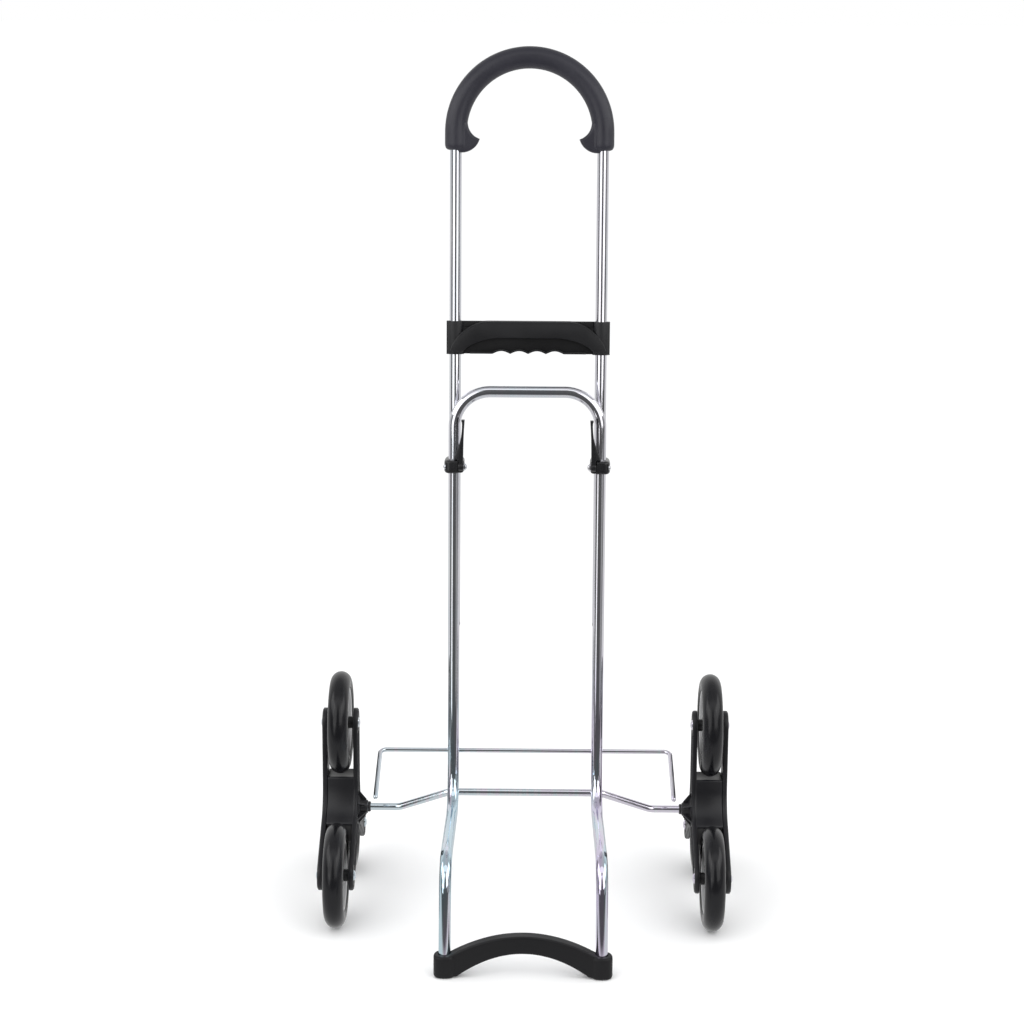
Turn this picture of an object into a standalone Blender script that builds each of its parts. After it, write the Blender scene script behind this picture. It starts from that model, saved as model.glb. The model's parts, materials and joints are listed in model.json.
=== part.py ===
"""Stair-climbing shopping trolley frame, without its bag.

One chromed tube makes the feet, the platform, the uprights and a loop; a second U-shaped tube
with the grip slides behind it through two lever clamps; a cranked rod carries two three-wheeled
stars. Metres, +Z up, +Y away from the user's load side; z = 0 is the ground.
"""

from math import cos, pi, radians, sin, tan

import bmesh
import bpy
from mathutils import Matrix, Vector

# Frame tube
TUBE_SPACING = 0.176
TUBE_RADIUS = 0.007
HALF = TUBE_SPACING / 2
TOE_HALF = 0.0903
FOOT_HALF = 0.0907
LEAN = radians(4.63)
HEEL = Vector((0, 0.0226, 0.1299))
PLATFORM_LENGTH = 0.2010
LOOP_TOP = 0.5107
LOOP_RADIUS = 0.043
HEEL_RADIUS = 0.045
TOE_RADIUS = 0.040
LEG_FOOT = Vector((0, -0.1960, 0.006))

# Handle, all measured up the uprights from the heel
HANDLE_BEHIND = 0.022
HANDLE_BOTTOM = 0.225
GRIP_CENTRE = 0.8194
GRIP_RADIUS = 0.0132
GRIP_SKIRT = 0.0215
BRACE_CENTRE = 0.5742
BRACE_SIZE = Vector((0.1970, 0.020, 0.040))
CLAMP_CENTRE = 0.4210
CLAMP_SIZE = Vector((0.024, 0.050, 0.016))
CLAMP_FRONT = -0.0172
BOLT_FORWARD = 0.0130

# Wires and rod
GUARD_RADIUS = 0.00275
GUARD_HALF = 0.1782
GUARD_UP = 0.0668
GUARD_REACH = 0.093
GUARD_DROP = 0.0360
GUARD_BEND = 0.008
ROD_RADIUS = 0.0045
ROD_SEAT_ANGLE = radians(32)
ROD_BEND = 0.022
ROD_STRAIGHT_HALF = 0.0930
ROD_CRANK_END = 0.1560

# Wheel stars
WHEEL_RADIUS = 0.0629
WHEEL_WIDTH = 0.025
STAR_RADIUS = 0.1092
HUB = Vector((0, 0.0496, STAR_RADIUS / 2 + WHEEL_RADIUS))
ARM_RADIUS = 0.0180
ARM_FILLET = 0.045
STAR_INNER = 0.2065
STAR_OUTER = 0.2487
PLATE = 0.005
STAR_MIDDLE = (STAR_INNER + STAR_OUTER) / 2
WHEEL_CLEARANCE = WHEEL_RADIUS + 0.004
BOSS_LENGTH = 0.0117
BOSS_BASE_RADIUS = 0.017
BOSS_TIP_RADIUS = 0.0078
HUB_BORE = 0.0065
PIN_RADIUS = 0.003
PIN_HEAD_RADIUS = 0.0065
ARM_ANGLES = {"top": radians(90), "front": radians(210), "rear": radians(330)}

# Foot
BOOT_SIZE = Vector((0.0252, 0.026, 0.0260))
ARCH_DEPTH = 0.016
ARCH_HALF = 0.0755
ARCH_UNDERSIDE = 0.0299
ARCH_TOP = 0.0511

GAP = 0.0003
FIT = 0.0004
OVERLAP = 0.001
MERGE = 0.00001
SIDES = {"left": -1, "right": 1}
ALONG_X = Matrix.Rotation(pi / 2, 4, "Y")
ALONG_Y = Matrix.Rotation(pi / 2, 4, "X")


def clear_scene():
    for item in list(bpy.data.objects):
        bpy.data.objects.remove(item, do_unlink=True)


def new_collection(name):
    collection = bpy.data.collections.new(name)
    bpy.context.scene.collection.children.link(collection)
    return collection


def new_material(name, colour, roughness, metallic):
    material = bpy.data.materials.new(name)
    material.use_nodes = True
    shader = material.node_tree.nodes["Principled BSDF"]
    shader.inputs["Base Color"].default_value = (*colour, 1)
    shader.inputs["Roughness"].default_value = roughness
    shader.inputs["Metallic"].default_value = metallic
    return material


clear_scene()
PARTS = new_collection("shopping_trolley")
CUTTERS = new_collection("cutters")
CHROME = new_material("chromed_steel", (0.80, 0.80, 0.83), 0.12, 1.0)
ZINC = new_material("zinc_steel", (0.70, 0.70, 0.72), 0.28, 1.0)
BLACK = new_material("black_plastic", (0.022, 0.022, 0.025), 0.45, 0.0)
SOFT = new_material("grip_rubber", (0.045, 0.045, 0.052), 0.55, 0.0)
TYRE = new_material("tyre_rubber", (0.020, 0.020, 0.022), 0.40, 0.0)
RIM = new_material("grey_plastic", (0.52, 0.52, 0.52), 0.45, 0.0)


def link(item, material, collection=PARTS):
    collection.objects.link(item)
    if material is not None:
        item.data.materials.append(material)
    if collection is CUTTERS:
        item.hide_render = True
        item.display_type = "WIRE"
    return item


def on_frame(x, behind, up):
    """A point given along the leaning uprights, in the world."""
    return Vector((
        x,
        HEEL.y + behind * cos(LEAN) + up * sin(LEAN),
        HEEL.z - behind * sin(LEAN) + up * cos(LEAN),
    ))


def frame_matrix(x, behind, up):
    """A place on the uprights whose local +Z runs up them."""
    return Matrix.Translation(on_frame(x, behind, up)) @ Matrix.Rotation(-LEAN, 4, "X")


def rounded(corners, radii, steps):
    """The corners joined by straight runs, each inner corner turned with its own radius."""
    path = [corners[0]]
    for before, corner, after, radius in zip(corners, corners[1:], corners[2:], radii):
        back = (before - corner).normalized()
        ahead = (after - corner).normalized()
        opening = back.angle(ahead)
        centre = corner + (back + ahead).normalized() * (radius / sin(opening / 2))
        first = corner + back * (radius / tan(opening / 2)) - centre
        axis = back.cross(ahead)
        turn = opening - pi
        for step in range(steps + 1):
            path.append(centre + Matrix.Rotation(turn * step / steps, 3, axis) @ first)
    return path + [corners[-1]]


def tube(name, path, radius, resolution, material, collection=PARTS):
    """A round bar along a path, with filled ends."""
    curve = bpy.data.curves.new(name, "CURVE")
    curve.dimensions = "3D"
    curve.bevel_depth = radius
    curve.bevel_resolution = resolution
    curve.use_fill_caps = True
    spline = curve.splines.new("POLY")
    spline.points.add(len(path) - 1)
    for point, place in zip(spline.points, path):
        point.co = (*place, 1)
    return link(bpy.data.objects.new(name, curve), material, collection)


def flat(name, outline, thickness, material, collection=PARTS):
    """A closed outline in its own XY plane, filled and given a thickness."""
    curve = bpy.data.curves.new(name, "CURVE")
    curve.dimensions = "2D"
    curve.fill_mode = "BOTH"
    curve.extrude = thickness / 2
    spline = curve.splines.new("POLY")
    spline.points.add(len(outline) - 1)
    spline.use_cyclic_u = True
    for point, place in zip(spline.points, outline):
        point.co = (place[0], place[1], 0, 1)
    return link(bpy.data.objects.new(name, curve), material, collection)


def as_mesh(item):
    """The same object with its curve made a closed mesh."""
    bpy.context.view_layer.update()
    evaluated = item.evaluated_get(bpy.context.evaluated_depsgraph_get())
    mesh = bpy.data.meshes.new_from_object(evaluated)
    shape = bmesh.new()
    shape.from_mesh(mesh)
    bmesh.ops.remove_doubles(shape, verts=shape.verts, dist=MERGE)
    bmesh.ops.recalc_face_normals(shape, faces=shape.faces)
    shape.to_mesh(mesh)
    shape.free()
    name, place = item.name, item.matrix_world.copy()
    collection = item.users_collection[0]
    bpy.data.objects.remove(item, do_unlink=True)
    solid = bpy.data.objects.new(name, mesh)
    solid.matrix_world = place
    return link(solid, None, collection)


def turned(name, profile, sides, place, material, collection=PARTS, closed=False):
    """A profile of (radius, height) points turned about its own Z, then placed."""
    mesh = bpy.data.meshes.new(name)
    points = [(radius, 0, height) for radius, height in profile]
    edges = [(i, i + 1) for i in range(len(points) - 1)]
    if closed:
        edges.append((len(points) - 1, 0))
    mesh.from_pydata(points, edges, [])
    item = link(bpy.data.objects.new(name, mesh), material, collection)
    item.matrix_world = place
    screw = item.modifiers.new("turn", "SCREW")
    screw.steps = sides
    screw.render_steps = sides
    screw.use_merge_vertices = True
    screw.merge_threshold = MERGE
    return item


def drum(name, radius, length, sides, place, material, collection=PARTS):
    """A plain cylinder about its own Z, centred."""
    half = length / 2
    profile = [(0, half), (radius, half), (radius, -half), (0, -half)]
    return turned(name, profile, sides, place, material, collection)


def box(name, size, place, material, collection=PARTS, bevel=0.0):
    """A box of the given size about its own centre."""
    shape = bmesh.new()
    bmesh.ops.create_cube(shape, size=1)
    bmesh.ops.scale(shape, vec=size, verts=shape.verts)
    mesh = bpy.data.meshes.new(name)
    shape.to_mesh(mesh)
    shape.free()
    item = link(bpy.data.objects.new(name, mesh), material, collection)
    item.matrix_world = place
    if bevel:
        edge = item.modifiers.new("edges", "BEVEL")
        edge.width = bevel
        edge.segments = 2
        edge.limit_method = "NONE"
    return item


def combine(item, other, operation):
    """A Boolean between two objects, the second one a cutter or a piece to join."""
    change = item.modifiers.new(other.name, "BOOLEAN")
    change.object = other
    change.operation = operation
    change.solver = "EXACT"


def cut(item, *others):
    for other in others:
        combine(item, other, "DIFFERENCE")


def join(item, *others):
    for other in others:
        combine(item, other, "UNION")


def smooth(item, angle=radians(40)):
    item.data.shade_smooth()
    item.data.set_sharp_from_angle(angle=angle)


def heel(x):
    return Vector((x, HEEL.y, HEEL.z))


def toe(x):
    return Vector((x, HEEL.y - PLATFORM_LENGTH, HEEL.z))


def make_frame_tube():
    legs = [Vector((side * FOOT_HALF, LEG_FOOT.y, LEG_FOOT.z)) for side in (1, -1)]
    corners = [legs[0], toe(TOE_HALF), heel(HALF), on_frame(HALF, 0, LOOP_TOP)]
    corners += [on_frame(-HALF, 0, LOOP_TOP), heel(-HALF), toe(-TOE_HALF), legs[1]]
    radii = [TOE_RADIUS, HEEL_RADIUS, LOOP_RADIUS, LOOP_RADIUS, HEEL_RADIUS, TOE_RADIUS]
    tube("main_frame_tube", rounded(corners, radii, 6), TUBE_RADIUS, 4, CHROME)


def handle_path(bottom):
    """Up one side, round the half circle of the grip and down the other side."""
    path = [on_frame(HALF, HANDLE_BEHIND, bottom)]
    steps = 20
    for step in range(steps + 1):
        angle = pi * step / steps
        up = GRIP_CENTRE + HALF * sin(angle)
        path.append(on_frame(HALF * cos(angle), HANDLE_BEHIND, up))
    return path + [on_frame(-HALF, HANDLE_BEHIND, bottom)]


def make_handle_tube():
    tube("handle_tube", handle_path(HANDLE_BOTTOM), TUBE_RADIUS, 4, CHROME)
    for name, side in SIDES.items():
        place = frame_matrix(side * HALF, HANDLE_BEHIND, HANDLE_BOTTOM - GAP)
        profile = [(0, 0), (TUBE_RADIUS, 0), (TUBE_RADIUS, -0.003), (0.004, -0.005), (0, -0.005)]
        turned(f"tube_plug_{name}", profile, 12, place, BLACK)


def hook_outline(side):
    """The finger stop at a grip's end: hollow above, full below, with a pointed tip."""
    points = []
    steps = 5
    for step in range(steps + 1):
        angle = radians(182 + 72 * step / steps)
        points.append((0.0345 + 0.0205 * cos(angle), 0.0115 + 0.0205 * sin(angle)))
    for step in range(steps + 1):
        angle = radians(-16 - 74 * step / steps)
        points.append((0.0065 + 0.0225 * cos(angle), -0.0030 + 0.0215 * sin(angle)))
    points += [(-0.002, -0.0205), (-0.002, 0.012)]
    return [(-side * across, up) for across, up in points]


def make_grip():
    grip = as_mesh(tube("grip", handle_path(GRIP_CENTRE - GRIP_SKIRT), GRIP_RADIUS, 4, SOFT))
    bore = handle_path(GRIP_CENTRE - 3 * GRIP_SKIRT)
    bore = as_mesh(tube("grip_bore", bore, TUBE_RADIUS + GAP, 4, None, CUTTERS))
    for name, side in SIDES.items():
        hook = as_mesh(flat(f"grip_hook_{name}", hook_outline(side), 0.012, None, CUTTERS))
        hook.matrix_world = frame_matrix(side * HALF, HANDLE_BEHIND, GRIP_CENTRE) @ ALONG_Y
        join(grip, hook)
    cut(grip, bore)


def scalloped_outline():
    """The brace seen from the front: a bar whose lower edge has four finger scallops."""
    half, rise = BRACE_SIZE.x / 2, BRACE_SIZE.z / 2
    pitch, count, steps = 0.0215, 4, 4
    points = [(-half, rise), (-half, -rise)]
    start = -pitch * count / 2
    for finger in range(count):
        for step in range(steps):
            across = start + pitch * (finger + step / steps)
            points.append((across, -rise + 0.0036 * sin(pi * step / steps)))
    points.append((-start, -rise))
    return points + [(half, -rise), (half, rise)]


def make_brace():
    thickness = BRACE_SIZE.y / 2 - GAP / 2
    bores = []
    for name, side in SIDES.items():
        place = frame_matrix(side * HALF, HANDLE_BEHIND, BRACE_CENTRE)
        bores.append(drum(f"brace_bore_{name}", TUBE_RADIUS + GAP, 0.06, 16, place, None, CUTTERS))
    for name, facing in (("front", -1), ("back", 1)):
        centre = HANDLE_BEHIND + facing * (BRACE_SIZE.y / 2 + GAP / 2) / 2
        place = frame_matrix(0, centre, BRACE_CENTRE)
        shell = as_mesh(flat(f"brace_{name}", scalloped_outline(), thickness, BLACK))
        shell.matrix_world = place @ ALONG_Y
        place = frame_matrix(0, HANDLE_BEHIND, BRACE_CENTRE + 0.003)
        size = Vector((0.100, 2 * (BRACE_SIZE.y / 2 - 0.003), 0.026))
        pocket = box(f"brace_pocket_{name}", size, place, None, CUTTERS)
        cut(shell, *bores, pocket)
        for side_name, side in SIDES.items():
            cut(shell, screw_hole(f"brace_{name}_{side_name}", side))
    for name, side in SIDES.items():
        place = frame_matrix(side * 0.064, HANDLE_BEHIND, BRACE_CENTRE) @ ALONG_Y
        profile = screw_profile(0.0035, 0.0015, -0.0089, 0.007)
        turned(f"brace_screw_{name}", profile, 10, place, ZINC)


def screw_profile(head, shank, head_top, tip):
    """A countersunk screw whose head faces local -Z; heights run from head to tip."""
    return [(0, tip), (shank, tip), (shank, head_top + 0.003), (head, head_top), (0, head_top)]


def screw_hole(name, side):
    place = frame_matrix(side * 0.064, HANDLE_BEHIND, BRACE_CENTRE) @ ALONG_Y
    profile = screw_profile(0.0035 + FIT, 0.0015 + FIT, -0.0089, 0.0075)
    mouth = [(0.0035 + FIT, -0.012), (0, -0.012)]
    return turned(f"screw_hole_{name}", profile[:-1] + mouth, 10, place, None, CUTTERS)


def make_clamps():
    for name, side in SIDES.items():
        inward = Matrix.Scale(-side, 4, (1, 0, 0))
        centre = CLAMP_FRONT + CLAMP_SIZE.y / 2
        place = frame_matrix(side * HALF, centre, CLAMP_CENTRE)
        body = box(f"clamp_body_{name}", CLAMP_SIZE, place, BLACK, bevel=0.003)
        for label, behind in (("main", 0), ("handle", HANDLE_BEHIND)):
            place = frame_matrix(side * HALF, behind, CLAMP_CENTRE)
            radius = TUBE_RADIUS + FIT
            cut(body, drum(f"clamp_bore_{label}_{name}", radius, 0.03, 16, place, None, CUTTERS))
        place = frame_matrix(side * HALF, 0, CLAMP_CENTRE)
        slit = Vector((0.0016, 0.040, 0.03))
        cut(body, box(f"clamp_slit_{name}", slit, place, None, CUTTERS))
        notch = Matrix.Translation((side * -0.0095, -0.0156, 0))
        size = Vector((0.0100, 0.0164, 0.03))
        cut(body, box(f"clamp_notch_{name}", size, place @ notch, None, CUTTERS))
        bolt_place = frame_matrix(side * HALF, -BOLT_FORWARD, CLAMP_CENTRE) @ inward @ ALONG_X
        hole = drum(f"clamp_hole_{name}", 0.0024, 0.05, 12, bolt_place, None, CUTTERS)
        cut(body, hole)
        make_clamp_bolt(name, bolt_place, body)
        make_lever(name, bolt_place)


def make_clamp_bolt(name, place, body):
    """The bolt across the clamp's slit: its head sunk in the outer side, a dome nut inside."""
    recess = drum(f"bolt_recess_{name}", 0.0046, 0.008, 12, place, None, CUTTERS)
    recess.matrix_world = place @ Matrix.Translation((0, 0, -0.0114))
    cut(body, recess)
    profile = [(0, 0.0128), (0.002, 0.0128), (0.002, -0.0077), (0.0042, -0.0077)]
    profile += [(0.0042, -0.0112), (0, -0.0112)]
    turned(f"clamp_bolt_{name}", profile, 10, place, ZINC)
    inner, outer = 0.0114, 0.0148
    profile = [(0, outer), (0.0022, outer - 0.0003), (0.0042, inner + 0.0015), (0.0042, inner)]
    profile += [(0.0022, inner), (0.0022, inner + 0.0018), (0, inner + 0.0018)]
    turned(f"clamp_nut_{name}", profile, 10, place, ZINC)


def lever_outline():
    """The lever seen from the front: across from the tube's centre, up from the bolt."""
    inner = [(0.0110, 0.0090), (0.0108, 0.0300), (0.0116, 0.0450), (0.0126, 0.0565)]
    tip = [(0.0088, 0.0565), (0.0088, 0.0550), (0.0098, 0.0535)]
    outer = [(0.0088, 0.0400), (0.0068, 0.0310), (0.0050, 0.0240)]
    return inner + tip + outer + [(0.0024, 0.0180), (0.0008, 0.0130), (-0.0005, 0.0098)]


def make_lever(name, place):
    """A lever nut on the bolt: a hub beside the clamp's jaw and a blade up along the tube."""
    hub = [(0, 0.0110), (0.0052, 0.0110), (0.0052, 0.0051), (0, 0.0051)]
    lever = turned(f"clamp_lever_{name}", hub, 16, place, BLACK)
    upright = place @ ALONG_X.inverted()
    blade = as_mesh(flat(f"lever_blade_{name}", lever_outline(), 0.0096, None, CUTTERS))
    blade.matrix_world = upright @ ALONG_Y
    neck_size = Vector((0.0058, 0.0096, 0.0120))
    neck_place = upright @ Matrix.Translation((0.00805, 0, 0.0075))
    neck = box(f"lever_neck_{name}", neck_size, neck_place, None, CUTTERS)
    bore = drum(f"lever_bore_{name}", 0.0025, 0.03, 12, place, None, CUTTERS)
    join(lever, neck, blade)
    cut(lever, bore)


def make_guard_wire():
    seat = TUBE_RADIUS + GUARD_RADIUS + GAP
    corners = []
    for side in (1, -1):
        corners.append([
            on_frame(side * GUARD_HALF, seat - GUARD_REACH, GUARD_UP - GUARD_DROP),
            on_frame(side * GUARD_HALF, seat, GUARD_UP),
        ])
    path = corners[0] + corners[1][::-1]
    tube("guard_wire", rounded(path, [GUARD_BEND, GUARD_BEND], 4), GUARD_RADIUS, 2, CHROME)


def rod_seat(x):
    """Where the rod lies against the outside of the heel bend."""
    reach = HEEL_RADIUS + TUBE_RADIUS + ROD_RADIUS + GAP
    forward = HEEL_RADIUS / tan((pi / 2 + LEAN) / 2)
    return Vector((
        x,
        HEEL.y - forward + reach * cos(ROD_SEAT_ANGLE),
        HEEL.z + HEEL_RADIUS - reach * sin(ROD_SEAT_ANGLE),
    ))


def make_axle_rod():
    end = STAR_OUTER - 0.0010
    half = [Vector((end, HUB.y, HUB.z)), Vector((ROD_CRANK_END, HUB.y, HUB.z))]
    half.append(rod_seat(ROD_STRAIGHT_HALF))
    mirrored = [Vector((-point.x, point.y, point.z)) for point in reversed(half)]
    tube("axle_rod", rounded(half + mirrored, [ROD_BEND] * 4, 5), ROD_RADIUS, 3, CHROME)


def arc_points(centre, radius, start, end, steps):
    points = []
    for step in range(steps + 1):
        angle = start + (end - start) * step / steps
        points.append((centre[0] + radius * cos(angle), centre[1] + radius * sin(angle)))
    return points


def star_outline(arm_end):
    """Three arms joined by fillets; arm_end gives an arm's end from its angle."""
    points = []
    for angle in ARM_ANGLES.values():
        points += arm_end(angle)
        between = angle + pi / 3
        away = (ARM_RADIUS + ARM_FILLET) / cos(pi / 6)
        centre = (away * cos(between), away * sin(between))
        points += arc_points(centre, ARM_FILLET, angle - pi / 2, angle - pi / 2 - pi / 3, 6)
    return points


def round_end(angle):
    centre = (STAR_RADIUS * cos(angle), STAR_RADIUS * sin(angle))
    return arc_points(centre, ARM_RADIUS, angle - pi / 2, angle + pi / 2, 6)


def cradle_end(angle):
    """An arm cut back by the wheel that turns in it."""
    centre = (STAR_RADIUS * cos(angle), STAR_RADIUS * sin(angle))
    spread = ARM_RADIUS / WHEEL_CLEARANCE
    return arc_points(centre, WHEEL_CLEARANCE, angle + pi + spread, angle + pi - spread, 4)


def star_place(side, out):
    """A place on the star's axis, its XY plane facing along the axle and local +Z outwards."""
    turn = Matrix(((0, 0, side, 0), (1, 0, 0, 0), (0, 1, 0, 0), (0, 0, 0, 1)))
    return Matrix.Translation((side * out, HUB.y, HUB.z)) @ turn


def turned_place(side, out, centre):
    """A place on an axis parallel to the axle, local +Z outwards."""
    return Matrix.Translation((side * out, centre.y, centre.z)) @ ALONG_X @ Matrix.Rotation(
        0 if side > 0 else pi, 4, "X"
    )


def wheel_centre(angle):
    return HUB + Vector((0, STAR_RADIUS * cos(angle), STAR_RADIUS * sin(angle)))


def make_star(name, side):
    for half, facing, face in (("inner", -1, STAR_INNER), ("outer", 1, STAR_OUTER)):
        plate_centre = face - facing * PLATE / 2
        plate = as_mesh(flat(f"star_{half}_{name}", star_outline(round_end), PLATE, BLACK))
        plate.matrix_world = star_place(side, plate_centre)
        if half == "inner":
            near = STAR_INNER + PLATE - OVERLAP
            far = STAR_OUTER - PLATE - GAP
            block = flat(f"star_block_{name}", star_outline(cradle_end), far - near, None, CUTTERS)
            block = as_mesh(block)
            block.matrix_world = star_place(side, (near + far) / 2)
            join(plate, block, hub_boss(name, side))
        drill_star(plate, f"{half}_{name}", side)
        if half == "outer":
            place = turned_place(side, STAR_OUTER, HUB)
            cut(plate, drum(f"cap_recess_{name}", 0.0102, 0.0064, 16, place, None, CUTTERS))


def hub_boss(name, side):
    place = turned_place(side, STAR_INNER, HUB)
    profile = [(0, OVERLAP), (BOSS_BASE_RADIUS, OVERLAP), (BOSS_BASE_RADIUS, -0.0008)]
    profile += [(BOSS_TIP_RADIUS, -BOSS_LENGTH), (0, -BOSS_LENGTH)]
    return turned(f"hub_boss_{name}", profile, 16, place, None, CUTTERS)


def drill_star(plate, label, side):
    long_hole = 0.12
    place = turned_place(side, STAR_MIDDLE, HUB)
    cut(plate, drum(f"hub_bore_{label}", HUB_BORE, long_hole, 16, place, None, CUTTERS))
    for arm, angle in ARM_ANGLES.items():
        place = turned_place(side, STAR_MIDDLE, wheel_centre(angle))
        hole = drum(f"pin_bore_{label}_{arm}", PIN_RADIUS + FIT, long_hole, 10, place, None, CUTTERS)
        cut(plate, hole)


def make_hub_fittings(name, side):
    inner_end = STAR_INNER - BOSS_LENGTH
    outer_end = STAR_OUTER - 0.0036
    bush = [(0.0062, inner_end), (0.0062, outer_end), (0.0050, outer_end), (0.0050, inner_end)]
    bush = [(radius, out - STAR_MIDDLE) for radius, out in reversed(bush)]
    turned(f"hub_bush_{name}", bush, 14, turned_place(side, STAR_MIDDLE, HUB), ZINC, closed=True)
    place = turned_place(side, inner_end - GAP, HUB)
    collar = [(0.0050, 0), (0.0066, 0), (0.0072, -0.0015), (0.0066, -0.0030), (0.0050, -0.0030)]
    turned(f"axle_collar_{name}", collar, 14, place, BLACK, closed=True)
    place = turned_place(side, STAR_OUTER, HUB)
    cap = [(0, 0), (0.0085, 0), (0.0096, -0.0010), (0.0096, -0.0028), (0.0050, -0.0028)]
    cap += [(0.0050, -0.0007), (0, -0.0007)]
    turned(f"axle_cap_{name}", cap, 14, place, BLACK)


def tyre_profile():
    """A round-crowned tyre, closed, from its inner edge out over the crown."""
    half, shoulder, seat = WHEEL_WIDTH / 2, 0.0500, 0.0435
    points = [(seat, 0.0105)]
    steps = 6
    for step in range(steps + 1):
        angle = pi / 2 - pi * step / steps
        radius = shoulder + (WHEEL_RADIUS - shoulder) * cos(angle)
        points.append((radius, half * sin(angle)))
    return points + [(seat, -0.0105)]


def make_wheel(name, side, arm, angle):
    centre = wheel_centre(angle)
    place = turned_place(side, STAR_MIDDLE, centre)
    label = f"{name}_{arm}"
    turned(f"tyre_{label}", tyre_profile(), 24, place, TYRE, closed=True)
    rim = [(0.0426, 0.0095), (0.0426, -0.0095), (0.0100, -0.0070), (0.0100, -0.0135)]
    rim += [(0.0065, -0.0135), (0.0065, 0.0135), (0.0100, 0.0135), (0.0100, 0.0070)]
    turned(f"rim_{label}", rim, 16, place, RIM, closed=True)
    half = (STAR_OUTER - STAR_INNER) / 2 - PLATE - 0.0006
    bush = [(0.0060, half), (0.0060, -half), (0.0036, -half), (0.0036, half)]
    turned(f"wheel_bush_{label}", bush, 10, place, BLACK, closed=True)
    head = (STAR_OUTER - STAR_INNER) / 2 + GAP
    top = [(0, head + 0.0026), (0.0045, head + 0.0018), (PIN_HEAD_RADIUS, head)]
    top.append((PIN_RADIUS, head))
    pin = top + [(radius, -height) for radius, height in reversed(top)]
    turned(f"wheel_pin_{label}", pin, 10, place, ZINC)


def arch_outline():
    """The foot's crosspiece seen from the front: an arch between the two boots."""
    steps = 10
    reach = FOOT_HALF
    lower, upper = [], []
    for step in range(steps + 1):
        share = -1 + 2 * step / steps
        lower.append((share * ARCH_HALF, ARCH_UNDERSIDE - (ARCH_UNDERSIDE - 0.002) * share**2))
        upper.append((share * reach, ARCH_TOP - (ARCH_TOP - 0.020) * share**2))
    ends = [(reach, 0.003), (ARCH_HALF, 0.002)]
    return lower[:-1] + ends[::-1] + upper[::-1] + [(-reach, 0.003)]


def make_foot():
    leg = LEG_FOOT + Vector((FOOT_HALF, 0, 0)) - toe(TOE_HALF)
    foot_y = LEG_FOOT.y - leg.y / leg.z * (LEG_FOOT.z - BOOT_SIZE.z / 2)
    foot = as_mesh(flat("front_foot", arch_outline(), ARCH_DEPTH, BLACK))
    foot.matrix_world = Matrix.Translation((0, foot_y, 0)) @ ALONG_Y
    tilt = Matrix.Rotation(-leg.angle(Vector((0, 0, -1))), 4, "X")
    for name, side in SIDES.items():
        centre = Vector((side * FOOT_HALF, foot_y, BOOT_SIZE.z / 2))
        place = Matrix.Translation(centre)
        join(foot, box(f"boot_{name}", BOOT_SIZE, place, None, CUTTERS, bevel=0.004))
        length = 0.060
        start = Vector((side * FOOT_HALF, LEG_FOOT.y, LEG_FOOT.z))
        up = -leg.normalized()
        bore_centre = start + up * (length / 2 - GAP)
        place = Matrix.Translation(bore_centre) @ tilt
        cut(foot, drum(f"leg_bore_{name}", TUBE_RADIUS + FIT, length, 16, place, None, CUTTERS))
        rear = foot_y + BOOT_SIZE.y / 2
        place = Matrix.Translation((side * FOOT_HALF, rear, 0.0125)) @ ALONG_Y
        hole = drum(f"foot_screw_hole_{name}", 0.0019, 0.0044, 10, place, None, CUTTERS)
        cut(foot, hole)
        profile = [(0, 0.0016), (0.0015, 0.0016), (0.0015, -0.0004), (0.0034, -0.0004)]
        profile += [(0.0028, -0.0020), (0, -0.0020)]
        turned(f"foot_screw_{name}", profile, 10, place, ZINC)


def main():
    make_frame_tube()
    make_handle_tube()
    make_grip()
    make_brace()
    make_clamps()
    make_guard_wire()
    make_axle_rod()
    make_foot()
    for name, side in SIDES.items():
        make_star(name, side)
        make_hub_fittings(name, side)
        for arm, angle in ARM_ANGLES.items():
            make_wheel(name, side, arm, angle)
    for item in PARTS.objects:
        if item.type == "MESH":
            smooth(item)


main()
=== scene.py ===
"""Looks for the stair-climbing shopping trolley frame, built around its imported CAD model.

Metres, +Z up, -Y towards the camera. "Behind" and "up" are measured along the leaning uprights.
"""

import json
from math import cos, pi, radians, sin, tan

import bmesh
import bpy
from mathutils import Matrix, Vector


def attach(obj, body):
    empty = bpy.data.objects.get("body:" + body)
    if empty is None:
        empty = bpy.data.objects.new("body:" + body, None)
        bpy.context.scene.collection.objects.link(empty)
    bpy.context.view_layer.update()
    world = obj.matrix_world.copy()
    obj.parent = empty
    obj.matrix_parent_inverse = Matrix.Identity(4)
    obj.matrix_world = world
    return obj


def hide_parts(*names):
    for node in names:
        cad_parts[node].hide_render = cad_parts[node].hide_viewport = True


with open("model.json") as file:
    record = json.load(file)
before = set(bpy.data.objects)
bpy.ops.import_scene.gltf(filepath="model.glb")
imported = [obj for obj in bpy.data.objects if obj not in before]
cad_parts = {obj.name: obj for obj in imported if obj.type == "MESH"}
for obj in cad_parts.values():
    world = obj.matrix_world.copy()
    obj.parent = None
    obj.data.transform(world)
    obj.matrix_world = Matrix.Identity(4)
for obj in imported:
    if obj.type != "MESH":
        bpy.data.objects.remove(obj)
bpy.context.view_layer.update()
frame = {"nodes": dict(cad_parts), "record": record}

# Frame, as in the CAD
HALF = 0.088
TOE_HALF = 0.0903
FOOT_HALF = 0.0907
TUBE_RADIUS = 0.007
LEAN = radians(4.63)
HEEL = Vector((0, 0.0226, 0.1299))
PLATFORM_LENGTH = 0.2010
LOOP_TOP = 0.5107
LOOP_RADIUS = 0.043
HEEL_RADIUS = 0.045
TOE_RADIUS = 0.040
LEG_FOOT = Vector((0, -0.1960, 0.006))
ARCH_HALF = 0.0765
ARCH_UNDERSIDE = 0.0299
ARCH_TOP = 0.0511
BOOT_HEIGHT = 0.0262
BOOT_MIDDLE = 0.013
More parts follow.
